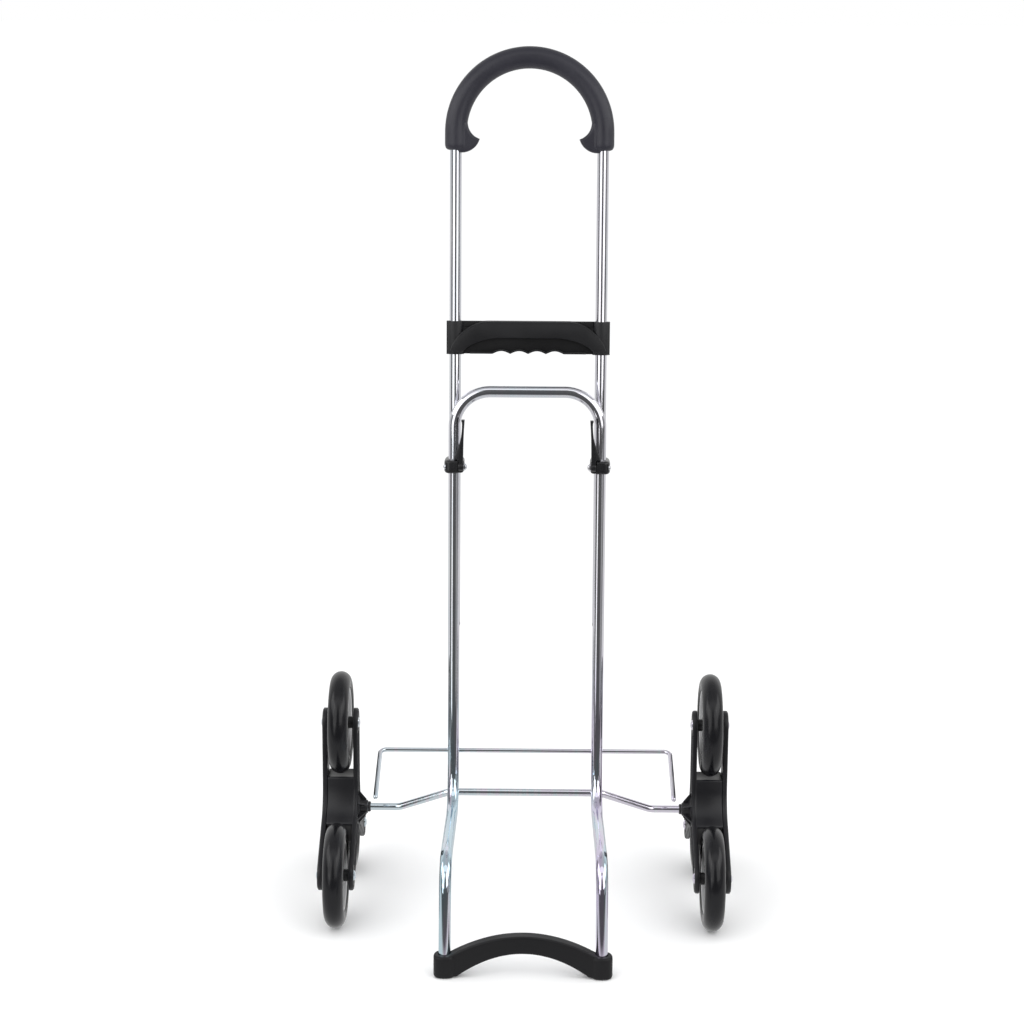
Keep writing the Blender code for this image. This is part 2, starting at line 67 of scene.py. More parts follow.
HANDLE_BEHIND = 0.022
HANDLE_BOTTOM = 0.225
GRIP_CENTRE = 0.8194
GRIP_RADIUS = 0.0132
GRIP_SKIRT = 0.0215
BRACE_CENTRE = 0.5742
BRACE_HALF_WIDTH = 0.0985
BRACE_HALF_HEIGHT = 0.0200
BRACE_EDGE = -BRACE_HALF_HEIGHT + 0.0008
FINGERS = 4
FINGER_PITCH = 0.0215
FINGER_DEPTH = 0.0034
CLAMP_CENTRE = 0.4210
CLAMP_FRONT = -0.0172
BOLT_FORWARD = 0.0130
GUARD_RADIUS = 0.00275
GUARD_HALF = 0.1782
GUARD_UP = 0.0668
GUARD_REACH = 0.093
GUARD_DROP = 0.0360
GUARD_BEND = 0.008
ROD_RADIUS = 0.0045
ROD_SEAT_ANGLE = radians(32)
ROD_BEND = 0.022
ROD_STRAIGHT_HALF = 0.0930
ROD_CRANK_END = 0.1560
GAP = 0.0003

# Wheel stars, as in the CAD
WHEEL_RADIUS = 0.0629
WHEEL_WIDTH = 0.025
STAR_RADIUS = 0.1092
HUB = Vector((0, 0.0496, STAR_RADIUS / 2 + WHEEL_RADIUS))
STAR_INNER = 0.2065
STAR_OUTER = 0.2487
STAR_MIDDLE = (STAR_INNER + STAR_OUTER) / 2
PLATE = 0.005
ARM_RADIUS = 0.018
ARM_FILLET = 0.045
BOSS_LENGTH = 0.0117
SIDES = {"left": -1, "right": 1}
ARM_ANGLES = {"top": radians(90), "front": radians(210), "rear": radians(330)}

# Camera, solved from the photo
CAMERA_PLACE = Vector((0.0079, -2.7865, 1.1234))
CAMERA_YAW = radians(0.522)
CAMERA_PITCH = radians(12.512)
CAMERA_ROLL = radians(0.335)
CAMERA_LENS = 84.45

# Heights between which the plating's hue grows to its full share
HUE_FAINT_ABOVE = 0.36
HUE_FULL_BELOW = 0.12

# Studio, as grey levels: bearing 0 is the camera's end of the room and 1 the far end
DAYLIGHT = (1.10, 1.105, 1.11)
BACKDROP = (1.0, 1.0, 1.0)
CEILING = (0.52, 0.52, 0.53)
ROOM_BY_BEARING = [
    (0.0, 0.11), (0.20, 0.11), (0.36, 0.20), (0.48, 0.40), (0.68, 0.55), (0.84, 0.78), (1.0, 0.86)]
ROOM_BY_HEIGHT = [(0.80, 0.0), (0.88, 1.0)]
FLOOR_TONE = 0.93
# How far forward the floor's painted glow in the plating starts and ends, and the glow's levels between
FLOOR_TONES_FROM, FLOOR_TONES_TO = 0.35, 1.05
FLOOR_GLOW_IN_REFLECTIONS = [(0.0, 0.70), (0.10, 0.42), (0.26, 0.095)]

# Softboxes: name, place, target, width and height, level, whether matt surfaces are lit by it
SOFTBOXES = [
    ("left_box", (-1.26, -1.66, 1.40), (0, 0, 0.90), (1.60, 1.90), 1.45, True),
    ("right_box", (1.28, -1.64, 1.45), (0, 0, 0.90), (1.50, 1.80), 1.45, True),
    ("left_side_box", (-2.05, -0.40, 1.65), (0, 0, 0.60), (2.00, 1.10), 1.8, False),
    ("right_side_box", (2.05, -0.40, 1.65), (0, 0, 0.60), (2.00, 1.10), 1.8, False),
    ("left_low_box", (-0.94, -1.12, 0.26), (0, 0, 0.30), (0.52, 0.48), 1.20, True),
    ("right_low_box", (1.15, -0.85, 0.26), (0, 0, 0.30), (0.90, 0.48), 0.22, True),
    ("top_box", (0, -0.90, 2.10), (0, -0.899, 0), (4.60, 0.80), 0.62, True),
]


# ---------------------------------------------------------------- materials

def nodes_of(name):
    material = bpy.data.materials.new(name)
    material.use_nodes = True
    tree = material.node_tree
    return material, tree, tree.nodes["Principled BSDF"]


def noise_node(tree, scale, detail=3.0, stretch=(1, 1, 1)):
    place = tree.nodes.new("ShaderNodeTexCoord")
    mapping = tree.nodes.new("ShaderNodeMapping")
    mapping.inputs["Scale"].default_value = stretch
    tree.links.new(place.outputs["Object"], mapping.inputs["Vector"])
    texture = tree.nodes.new("ShaderNodeTexNoise")
    texture.inputs["Scale"].default_value = scale
    texture.inputs["Detail"].default_value = detail
    tree.links.new(mapping.outputs["Vector"], texture.inputs["Vector"])
    return texture


def ramp(tree, source, stops):
    item = tree.nodes.new("ShaderNodeValToRGB")
    elements = item.color_ramp.elements
    while len(elements) < len(stops):
        elements.new(0.5)
    for element, (position, colour) in zip(elements, stops):
        element.position = position
        element.color = (*colour, 1) if isinstance(colour, tuple) else (colour, colour, colour, 1)
    tree.links.new(source, item.inputs["Fac"])
    return item


def level_ramp(tree, source, low, high, stops):
    """A grey level read off a value between two limits."""
    spread = tree.nodes.new("ShaderNodeMapRange")
    spread.inputs["From Min"].default_value = low
    spread.inputs["From Max"].default_value = high
    tree.links.new(source, spread.inputs["Value"])
    return ramp(tree, spread.outputs["Result"], stops)


def mixed(tree, factor, first, second, way="MIX"):
    """Two colours mixed; each is a socket or a plain (r, g, b)."""
    item = tree.nodes.new("ShaderNodeMix")
    item.data_type = "RGBA"
    item.blend_type = way
    tree.links.new(factor, item.inputs["Factor"])
    for index, value in ((6, first), (7, second)):
        if isinstance(value, tuple):
            item.inputs[index].default_value = (*value, 1)
        else:
            tree.links.new(value, item.inputs[index])
    return item.outputs[2]


def axes(tree, space):
    """The X, Y and Z of a texture space."""
    place = tree.nodes.new("ShaderNodeTexCoord")
    split = tree.nodes.new("ShaderNodeSeparateXYZ")
    tree.links.new(place.outputs[space], split.inputs["Vector"])
    return (split.outputs[axis] for axis in "XYZ")


def math_node(tree, operation, first, second):
    item = tree.nodes.new("ShaderNodeMath")
    item.operation = operation
    for socket, value in zip(item.inputs, (first, second)):
        if isinstance(value, (int, float)):
            socket.default_value = value
        else:
            tree.links.new(value, socket)
    return item.outputs["Value"]


def bump(tree, shader, height, strength, distance):
    item = tree.nodes.new("ShaderNodeBump")
    item.inputs["Strength"].default_value = strength
    item.inputs["Distance"].default_value = distance
    tree.links.new(height, item.inputs["Height"])
    tree.links.new(item.outputs["Normal"], shader.inputs["Normal"])


def plated(name, light, dark, tint, rough_low, rough_high, hue_share=0.25):
    """Plated steel: streaks of two faint hues that strengthen near the floor, fine polish marks."""
    material, tree, shader = nodes_of(name)
    shader.inputs["Metallic"].default_value = 1.0
    slow = noise_node(tree, 9.0, 2.0)
    colour = ramp(tree, slow.outputs["Fac"], [(0.32, light), (0.52, dark), (0.68, tint)])
    streaks = noise_node(tree, 95.0, 3.0, (1.6, 0.10, 0.10))
    x, _, z = axes(tree, "Object")
    across = math_node(tree, "MULTIPLY", x, 0.9)
    hue = ramp(tree, math_node(tree, "ADD", streaks.outputs["Fac"], across), PASSIVATION)
    height = tree.nodes.new("ShaderNodeMapRange")
    height.inputs["From Min"].default_value = HUE_FAINT_ABOVE
    height.inputs["From Max"].default_value = HUE_FULL_BELOW
    height.inputs["To Min"].default_value = hue_share * 0.15
    height.inputs["To Max"].default_value = hue_share
    tree.links.new(z, height.inputs["Value"])
    blend = mixed(
        tree, height.outputs["Result"], colour.outputs["Color"], hue.outputs["Color"], "MULTIPLY")
    tree.links.new(blend, shader.inputs["Base Color"])
    fine = noise_node(tree, 260.0, 4.0, (1, 1, 0.12))
    rough = ramp(tree, fine.outputs["Fac"], [(0.35, rough_low), (0.72, rough_high)])
    tree.links.new(rough.outputs["Color"], shader.inputs["Roughness"])
    bump(tree, shader, fine.outputs["Fac"], 0.06, 0.0002)
    return material


def moulded(name, base, edge_tone, rough_low, rough_high, grain, strength, specular=0.4):
    """Moulded plastic: fine grain in the surface, cloudy sheen and slightly paler raised edges."""
    material, tree, shader = nodes_of(name)
    cloud = noise_node(tree, 26.0, 4.0)
    tone = ramp(tree, cloud.outputs["Fac"], [(0.35, base), (0.75, tuple(c * 1.18 for c in base))])
    # Raised edges are painted paler than the rest of the moulding.
    edge = tree.nodes.new("ShaderNodeNewGeometry")
    edges = ramp(tree, edge.outputs["Pointiness"], [(0.53, 0.0), (0.62, 1.0)])
    colour = mixed(tree, edges.outputs["Color"], tone.outputs["Color"], edge_tone)
    tree.links.new(colour, shader.inputs["Base Color"])
    rough = ramp(tree, cloud.outputs["Fac"], [(0.30, rough_low), (0.72, rough_high)])
    tree.links.new(rough.outputs["Color"], shader.inputs["Roughness"])
    shader.inputs["Specular IOR Level"].default_value = specular
    skin = noise_node(tree, grain, 2.0)
    bump(tree, shader, skin.outputs["Fac"], strength, 0.0003)
    return material


# Plating: light, dark and tinted colour, lowest and highest roughness, share of the hue
PASSIVATION = [(0.40, (0.74, 0.94, 1.0)), (0.50, (0.92, 0.94, 1.0)), (0.60, (0.92, 0.83, 1.0))]
CHROME = plated(
    "chrome_plate", (0.86, 0.86, 0.88), (0.80, 0.80, 0.84), (0.76, 0.79, 0.84), 0.05, 0.13, 0.95)
BRIGHT = plated(
    "bright_plate", (0.86, 0.86, 0.88), (0.82, 0.82, 0.85), (0.78, 0.80, 0.85), 0.06, 0.15, 0.55)
ZINC = plated("bright_zinc", (0.80, 0.80, 0.82), (0.70, 0.71, 0.74), (0.72, 0.74, 0.80), 0.16, 0.34)
WELD = plated("weld_seam", (0.62, 0.62, 0.64), (0.50, 0.50, 0.53), (0.44, 0.46, 0.52), 0.30, 0.50)
# Mouldings: colour, colour of raised edges, lowest and highest roughness, grain's scale and
# strength, gloss
BLACK = moulded("black_moulding", (0.0064, 0.0064, 0.0076), (0.022, 0.022, 0.024), 0.36, 0.52, 900.0, 0.10)
# A darker moulding for the brace's web: painted shade in the recess under the arch and in its corners.
SHADED_RECESS = moulded(
    "recess_painted_shade_moulding", (0.0038, 0.0038, 0.0044), (0.012, 0.012, 0.013), 0.46, 0.60, 900.0, 0.12, 0.25)
GLOSS = moulded(
    "glossy_moulding", (0.0070, 0.0070, 0.0080), (0.018, 0.018, 0.020), 0.20, 0.32, 600.0, 0.05, 0.5)
BOOT = moulded(
    "boot_moulding", (0.0040, 0.0040, 0.0050), (0.016, 0.016, 0.018), 0.40, 0.54, 900.0, 0.10, 0.32)
CHARCOAL = moulded(
    "charcoal_shell", (0.0074, 0.0074, 0.0092), (0.026, 0.026, 0.030), 0.30, 0.44, 700.0, 0.10)
SOFT = moulded("soft_grip", (0.0175, 0.0170, 0.0245), (0.034, 0.033, 0.044), 0.34, 0.44, 1100.0, 0.20)
TYRE = moulded(
    "tyre_rubber", (0.0046, 0.0046, 0.0058), (0.012, 0.012, 0.014), 0.20, 0.28, 420.0, 0.05, 0.34)
RIM = moulded("rim_moulding", (0.36, 0.36, 0.36), (0.50, 0.50, 0.50), 0.38, 0.52, 800.0, 0.08)


# ---------------------------------------------------------------- mesh helpers

def placed(name, data):
    """A new object in the scene."""
    item = bpy.data.objects.new(name, data)
    bpy.context.scene.collection.objects.link(item)
    return item


def add(name, mesh, material, body, slot, *replaced, angle=40):
    """The mesh as a piece that rides on a body and stands for the CAD nodes named."""
    piece = placed(name, mesh)
    mesh.materials.append(material)
    mesh.shade_smooth()
    mesh.set_sharp_from_angle(angle=radians(angle))
    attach(piece, body)
    if replaced:
        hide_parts(*replaced)


def to_mesh(shape, name):
    bmesh.ops.recalc_face_normals(shape, faces=shape.faces)
    mesh = bpy.data.meshes.new(name)
    shape.to_mesh(mesh)
    shape.free()
    return mesh


def on_frame(x, behind, up):
    return Vector((
        x,
        HEEL.y + behind * cos(LEAN) + up * sin(LEAN),
        HEEL.z - behind * sin(LEAN) + up * cos(LEAN),
    ))


def frame_matrix(x, behind, up):
    return Matrix.Translation(on_frame(x, behind, up)) @ Matrix.Rotation(-LEAN, 4, "X")


# Local XY seen from the front: X across, Y up, +Z out of the sheet towards the camera.
FACE_ON = Matrix.Rotation(pi / 2, 4, "X")


def rounded(corners, radii, steps):
    path = [corners[0]]
    for before, corner, after, radius in zip(corners, corners[1:], corners[2:], radii):
        back = (before - corner).normalized()
        ahead = (after - corner).normalized()
        opening = back.angle(ahead)
        centre = corner + (back + ahead).normalized() * (radius / sin(opening / 2))
        first = corner + back * (radius / tan(opening / 2)) - centre
        axis = back.cross(ahead)
        turn = opening - pi
        for step in range(steps + 1):
            path.append(centre + Matrix.Rotation(turn * step / steps, 3, axis) @ first)
    return path + [corners[-1]]


def subdivided(path, longest):
    """The same path with no run longer than the given length."""
    points = [path[0]]
    for start, end in zip(path, path[1:]):
        count = max(1, int((end - start).length / longest + 0.999))
        for step in range(1, count + 1):
            points.append(start.lerp(end, step / count))
    return points


def skin(shape, first, second):
    """Faces from one ring to the next."""
    for i in range(len(first)):
        j = (i + 1) % len(first)
        shape.faces.new((first[i], first[j], second[j], second[i]))


def sweep(shape, path, section, across, dome=0.0):
    """A section carried along a path; section(share) gives (across, normal) points."""
    rings = []
    tangent = (path[1] - path[0]).normalized()
    side = (across - tangent * across.dot(tangent)).normalized()
    lengths = [0.0]
    for start, end in zip(path, path[1:]):
        lengths.append(lengths[-1] + (end - start).length)
    for index, point in enumerate(path):
        before = path[max(index - 1, 0)]
        after = path[min(index + 1, len(path) - 1)]
        tangent = (after - before).normalized()
        side = (side - tangent * side.dot(tangent)).normalized()
        up = tangent.cross(side)
        share = lengths[index] / lengths[-1]
        rings.append([shape.verts.new(point + side * a + up * b) for a, b in section(share)])
    for first, second in zip(rings, rings[1:]):
        skin(shape, first, second)
    for ring, outward in ((rings[0], path[0] - path[1]), (rings[-1], path[-1] - path[-2])):
        close_ring(shape, ring, outward.normalized(), dome)


def close_ring(shape, ring, outward, dome):
    """The end of a sweep, flat or domed."""
    centre = sum((vert.co for vert in ring), Vector()) / len(ring)
    current = ring
    steps = 5 if dome else 0
    for step in range(1, steps + 1):
        angle = pi / 2 * step / (steps + 1)
        scale = cos(angle)
        lift = outward * dome * sin(angle)
        following = [shape.verts.new(centre + (v.co - centre) * scale + lift) for v in ring]
        skin(shape, current, following)
        current = following
    shape.faces.new(current)


def circle(radius, count=36):
    return [(radius * cos(2 * pi * i / count), radius * sin(2 * pi * i / count)) for i in range(count)]


def bar(name, path, radius, count=36, dome=0.0):
    shape = bmesh.new()
    ring = circle(radius, count)
    sweep(shape, subdivided(path, 0.03), lambda share: ring, Vector((1, 0.3, 0.2)), dome)
    return to_mesh(shape, name)


def spin(shape, profile, steps, place, closed=True):
    """A profile of (radius, out) points turned about local Z."""
    rings = []
    for radius, out in profile:
        if radius < 1e-6:
            rings.append([shape.verts.new(place @ Vector((0, 0, out)))])
            continue
        ring = []
        for i in range(steps):
            angle = 2 * pi * i / steps
            ring.append(shape.verts.new(place @ Vector((radius * cos(angle), radius * sin(angle), out))))
        rings.append(ring)
    pairs = list(zip(rings, rings[1:]))
    if closed:
        pairs.append((rings[-1], rings[0]))
    for first, second in pairs:
        if len(first) == 1 and len(second) == 1:
            continue
        for i in range(steps):
            j = (i + 1) % steps
            if len(first) == 1:
                shape.faces.new((first[0], second[j], second[i]))
            elif len(second) == 1:
                shape.faces.new((first[i], first[j], second[0]))
            else:
                shape.faces.new((first[i], first[j], second[j], second[i]))


def turned(name, profile, steps, place, closed=True):
    """One turned shape as a mesh of its own."""
    shape = bmesh.new()
    spin(shape, profile, steps, place, closed)
    return to_mesh(shape, name)


def fillet_profile(points, radius, steps=4):
    """A profile whose inner corners are rounded."""
    corners = [Vector((r, 0, h)) for r, h in points]
    radii = []
    for before, corner, after in zip(corners, corners[1:], corners[2:]):
        shortest = min((before - corner).length, (after - corner).length)
        opening = (before - corner).angle(after - corner)
        radii.append(min(radius, 0.45 * shortest * tan(opening / 2)))
    return [(p.x, p.z) for p in rounded(corners, radii, steps)]


def slab(shape, outline, low, high, place, edge=0.0, steps=3):
    """An outline given thickness, with rounded edges on both faces."""
    levels = []
    for step in range(steps + 1):
        angle = pi / 2 * step / steps
        levels.append((edge * (1 - sin(angle)), low + edge * (1 - cos(angle))))
    for step in range(steps + 1):
        angle = pi / 2 * step / steps
        levels.append((edge * (1 - cos(angle)), high - edge * (1 - sin(angle))))
    if not edge:
        levels = [(0, low), (0, high)]
    rings = []
    for inset, height in levels:
        points = offset(outline, inset) if inset > 1e-7 else outline
        rings.append([shape.verts.new(place @ Vector((x, y, height))) for x, y in points])
    for first, second in zip(rings, rings[1:]):
        skin(shape, first, second)
    shape.faces.new(rings[0][::-1])
    shape.faces.new(rings[-1])


def offset(outline, inset):
    """The outline moved inwards, for outlines without tight corners."""
    count = len(outline)
    area = sum(
        outline[i][0] * outline[(i + 1) % count][1] - outline[(i + 1) % count][0] * outline[i][1]
        for i in range(count)
    )
    turn = 1 if area > 0 else -1
    points = []
    for i in range(count):
        before = Vector(outline[i - 1])
        here = Vector(outline[i])
        after = Vector(outline[(i + 1) % count])
        first = (here - before).normalized()
        second = (after - here).normalized()
        normal = Vector((-first.y - second.y, first.x + second.x))
        if normal.length < 1e-9:
            normal = Vector((-first.y, first.x))
        normal.normalize()
        stretch = max(0.5, normal.dot(Vector((-first.y, first.x))))
        move = normal * (inset * turn / stretch)
        points.append((here.x + move.x, here.y + move.y))
    return points


def border(shape, outline, near, far, low, high, place):
    """A raised border that follows an outline between two insets."""
    outer, inner = offset(outline, near), offset(outline, far)
    lift = (high - low) * 0.35
    loops = (
        (outer, low), (offset(outline, near + lift), high), (offset(outline, far - lift), high),
        (inner, low),
    )
    rings = [[shape.verts.new(place @ Vector((x, y, z))) for x, y in points] for points, z in loops]
    for first, second in zip(rings, rings[1:]):
        skin(shape, first, second)


def block(shape, size, place, edge):
    """A box with rounded edges."""
    part = bmesh.new()
    bmesh.ops.create_cube(part, size=1)
    bmesh.ops.scale(part, vec=size, verts=part.verts)
    bmesh.ops.bevel(
        part, geom=part.edges[:] + part.verts[:], offset=edge, segments=3, profile=0.5, affect="EDGES")
    bmesh.ops.transform(part, matrix=place, verts=part.verts)
    holder = bpy.data.meshes.new("block")
    part.to_mesh(holder)
    part.free()
    shape.from_mesh(holder)
    bpy.data.meshes.remove(holder)


def applied(holder, *tools):
    """The holder's mesh with its modifiers applied; the holder and its tools go away."""
    bpy.context.view_layer.update()
    evaluated = holder.evaluated_get(bpy.context.evaluated_depsgraph_get())
    result = bpy.data.meshes.new_from_object(evaluated)
    for item in (holder, *tools):
        bpy.data.objects.remove(item, do_unlink=True)
    return result


def remeshed(mesh, voxel, passes):
    """Overlapping shapes melted into one skin, then smoothed."""
    holder = placed("holder", mesh)
    melt = holder.modifiers.new("melt", "REMESH")
    melt.mode = "VOXEL"
    melt.voxel_size = voxel
    calm = holder.modifiers.new("calm", "SMOOTH")
    calm.factor = 0.5
    calm.iterations = passes
    return applied(holder)


def bored(mesh, cutters):
    """The mesh with the cutters' shapes taken out of it."""
    holder = placed("holder", mesh)
    tools = []
    for cutter in cutters:
        tool = placed("tool", cutter)
        tools.append(tool)
        change = holder.modifiers.new("bore", "BOOLEAN")
        change.object = tool
        change.operation = "DIFFERENCE"
        change.solver = "EXACT"
    return applied(holder, *tools)


# ---------------------------------------------------------------- frame, rod and guard

def toe(x):
    return Vector((x, HEEL.y - PLATFORM_LENGTH, HEEL.z))


def make_tubes():
    legs = [Vector((side * FOOT_HALF, LEG_FOOT.y, LEG_FOOT.z)) for side in (1, -1)]
    heels = [Vector((side * HALF, HEEL.y, HEEL.z)) for side in (1, -1)]
    corners = [legs[0], toe(TOE_HALF), heels[0], on_frame(HALF, 0, LOOP_TOP)]
    corners += [on_frame(-HALF, 0, LOOP_TOP), heels[1], toe(-TOE_HALF), legs[1]]
    radii = [TOE_RADIUS, HEEL_RADIUS, LOOP_RADIUS, LOOP_RADIUS, HEEL_RADIUS, TOE_RADIUS]
    mesh = bar("main_tube", rounded(corners, radii, 22), TUBE_RADIUS, 48)
    add("chromed_frame_tube", mesh, CHROME, "frame", "chrome", "main_frame_tube", angle=60)
    path = handle_path(HANDLE_BOTTOM)
    mesh = bar("handle", path, TUBE_RADIUS, 48)
    add("chromed_handle_tube", mesh, CHROME, "handle", "chrome", "handle_tube", angle=60)


def handle_path(bottom):
    path = [on_frame(HALF, HANDLE_BEHIND, bottom)]
    steps = 72
    for step in range(steps + 1):
        angle = pi * step / steps
        path.append(on_frame(HALF * cos(angle), HANDLE_BEHIND, GRIP_CENTRE + HALF * sin(angle)))
    return path + [on_frame(-HALF, HANDLE_BEHIND, bottom)]


def rod_seat(x):
    reach = HEEL_RADIUS + TUBE_RADIUS + ROD_RADIUS + GAP
    forward = HEEL_RADIUS / tan((pi / 2 + LEAN) / 2)
    return Vector((
        x,
        HEEL.y - forward + reach * cos(ROD_SEAT_ANGLE),
        HEEL.z + HEEL_RADIUS - reach * sin(ROD_SEAT_ANGLE),
    ))


def make_rod_and_guard():
    end = STAR_OUTER - 0.0010
    half = [Vector((end, HUB.y, HUB.z)), Vector((ROD_CRANK_END, HUB.y, HUB.z))]
    half.append(rod_seat(ROD_STRAIGHT_HALF))
    mirrored = [Vector((-point.x, point.y, point.z)) for point in reversed(half)]
    mesh = bar("rod", rounded(half + mirrored, [ROD_BEND] * 4, 16), ROD_RADIUS, 36)
    add("cranked_rod", mesh, BRIGHT, "frame", "chrome", "axle_rod", angle=60)
    seat = TUBE_RADIUS + GUARD_RADIUS + GAP
    path = []
    for side in (1, -1):
        arm = [on_frame(side * GUARD_HALF, seat - GUARD_REACH, GUARD_UP - GUARD_DROP)]
        arm.append(on_frame(side * GUARD_HALF, seat, GUARD_UP))
        path += arm if side > 0 else arm[::-1]
    mesh = bar("guard", rounded(path, [GUARD_BEND] * 2, 16), GUARD_RADIUS, 28, dome=GUARD_RADIUS * 0.8)
    add("bent_guard_wire", mesh, BRIGHT, "frame", "chrome", "guard_wire", angle=60)


def weld_bead(name, start, end, radius):
    """A short rippled bead laid in the corner between two round bars."""
    shape = bmesh.new()
    steps, ripples = 26, 5
    path = [start.lerp(end, step / steps) for step in range(steps + 1)]

    def section(share):
        swell = radius * (sin(pi * min(max(share, 0.03), 0.97)) ** 0.5)
        ripple = 1 + 0.10 * sin(2 * pi * ripples * share)
        return circle(swell * ripple, 14)

    sweep(shape, path, section, Vector((0, 0, 1)))
    add(name, to_mesh(shape, name), WELD, "frame", "zinc", angle=70)


def make_welds():
    seat = TUBE_RADIUS + GUARD_RADIUS + GAP
    for name, side in SIDES.items():
        contact = rod_seat(side * HALF)
        back, rise = cos(ROD_SEAT_ANGLE) * ROD_RADIUS, sin(ROD_SEAT_ANGLE) * ROD_RADIUS
        centre = Vector((contact.x, contact.y - back, contact.z + rise))
        along = Vector((0, sin(ROD_SEAT_ANGLE), cos(ROD_SEAT_ANGLE)))
        for label, way in (("upper", 1), ("lower", -1)):
            place = centre + along * (way * 0.0042)
            reach = Vector((0.0045, 0, 0))
            weld_bead(f"weld_rod_{name}_{label}", place - reach, place + reach, 0.0018)
        up = on_frame(0, 0, 1) - on_frame(0, 0, 0)
        place = on_frame(side * HALF, seat - GUARD_RADIUS, GUARD_UP)
        for label, way in (("upper", 1), ("lower", -1)):
            centre = place + up * (way * 0.0026)
            reach = Vector((0.0035, 0, 0))
            weld_bead(f"weld_guard_{name}_{label}", centre - reach, centre + reach, 0.0012)


# ---------------------------------------------------------------- grip

def hook_outline(side):
    points = []
    steps = 14
    for step in range(steps + 1):
        angle = radians(182 + 72 * step / steps)
        points.append((0.0345 + 0.0205 * cos(angle), 0.0115 + 0.0205 * sin(angle)))
    for step in range(steps + 1):
        angle = radians(-16 - 74 * step / steps)
        points.append((0.0065 + 0.0225 * cos(angle), -0.0030 + 0.0215 * sin(angle)))
    points += [(-0.002, -0.0205), (-0.002, 0.012)]
    return [(-side * across, up) for across, up in points]


def make_grip():
    shape = bmesh.new()
    path = subdivided(handle_path(GRIP_CENTRE - GRIP_SKIRT), 0.0008)
    total = sum((b - a).length for a, b in zip(path, path[1:]))

    def section(share):
        from_end = min(share, 1 - share) * total
        tuck = max(0.0, 1 - from_end / 0.0070)
        return circle(GRIP_RADIUS * (1 - 0.38 * (1 - (1 - tuck ** 2) ** 0.5)), 40)

    sweep(shape, path, section, Vector((0, 1, 0)))
    for side in SIDES.values():
        place = frame_matrix(side * HALF, HANDLE_BEHIND, GRIP_CENTRE) @ FACE_ON
        slab(shape, hook_outline(side), -0.0085, 0.0085, place, 0.0030)
    mesh = remeshed(to_mesh(shape, "grip"), voxel=0.0009, passes=5)
    cutters = []
    for side in SIDES.values():
        radius = TUBE_RADIUS + 0.0008
        profile = [(0, -0.03), (radius, -0.03), (radius, 0.006), (0, 0.006)]
        place = frame_matrix(side * HALF, HANDLE_BEHIND, GRIP_CENTRE - GRIP_SKIRT)
        cutters.append(turned("tool", profile, 32, place, closed=False))
    mesh = bored(mesh, cutters)
    add("curved_grip", mesh, SOFT, "handle", "grip_rubber", "grip", angle=60)


# ---------------------------------------------------------------- brace

def arch(across, level, crown_half, foot, drop):
    """Height of a brace edge: level over the middle, then rounding down to its foot."""
    beyond = abs(across) - crown_half
    if beyond <= 0:
        return level
    share = min(beyond / (foot - crown_half), 1.0)
    return level - drop * (1 - (1 - share ** 1.75) ** 0.62)


def band_outline():
    upper, lower = [], []
    upper_half, lower_half = 0.0944, 0.0790
    steps = 64
    for step in range(steps + 1):
        across = -upper_half + 2 * upper_half * step / steps
        height = arch(across, BRACE_HALF_HEIGHT, crown_half=0.050, foot=0.0948, drop=0.0385)
        upper.append((across, height))
    for step in range(steps + 1):
        across = lower_half - 2 * lower_half * step / steps
        lower.append((across, arch(across, 0.0, crown_half=0.034, foot=0.0794, drop=0.0190)))
    return upper + lower


def finger_hollows():
    """The scalloped middle of the lower edge, as (across, height over the edge) points."""
    steps = 14
    start = -FINGER_PITCH * FINGERS / 2
    return [
        (start + FINGER_PITCH * (finger + step / steps), FINGER_DEPTH * sin(pi * step / steps))
        for finger in range(FINGERS) for step in range(steps)
    ] + [(-start, 0.0)]


def plate_outline():
    half = BRACE_HALF_WIDTH - 0.0205
    hollows = [(x, BRACE_EDGE + y) for x, y in finger_hollows()]
    points = [(-half, BRACE_HALF_HEIGHT), (-half, BRACE_EDGE), (hollows[0][0] - 0.002, BRACE_EDGE)]
    return points + hollows + [(half, BRACE_EDGE), (half, BRACE_HALF_HEIGHT)]


